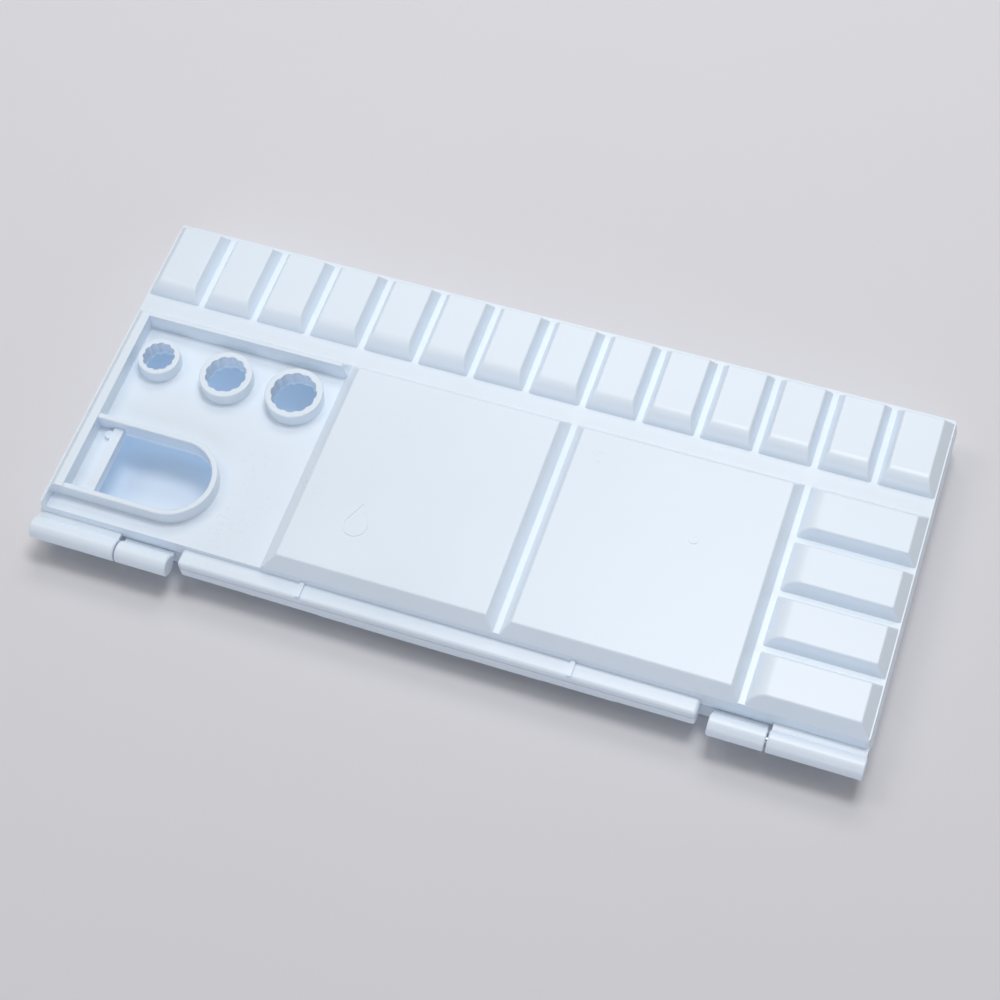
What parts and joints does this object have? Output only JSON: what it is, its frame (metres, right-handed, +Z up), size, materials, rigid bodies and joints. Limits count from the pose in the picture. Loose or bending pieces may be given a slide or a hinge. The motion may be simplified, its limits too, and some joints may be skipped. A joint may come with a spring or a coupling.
{
  "type": "folding mixing palette",
  "caption": "Folding plastic paint palette: a tray of wells, mixing areas, brush holes and thumb hole, hinged to a tray of mixing basins, closed face to face.",
  "frame": {"origin": "middle of the closed palette's footprint, on the surface it lies on", "axes": "+X along the hinge, with the brush holes at the -X end; +Y away from the hinge; +Z up, out of the well tray's outside"},
  "size_m": [0.23, 0.1068, 0.0177],
  "materials": {
    "tray_plastic": "smooth glossy moulded plastic, pale bluish white",
    "pin_metal": "plain drawn steel"
  },
  "bodies": {
    "lower_half": {"mixing_tray": "tray_plastic"},
    "upper_half": {"well_tray": "tray_plastic", "hinge_pin_left": "pin_metal", "hinge_pin_right": "pin_metal"}
  },
  "joints": [
    {"name": "fold_hinge", "type": "hinge", "parent": "lower_half", "child": "upper_half", "pos_m": [0, -0.05045, 0.00875], "axis": [1, 0, 0], "range_deg": [0, 180]}
  ]
}
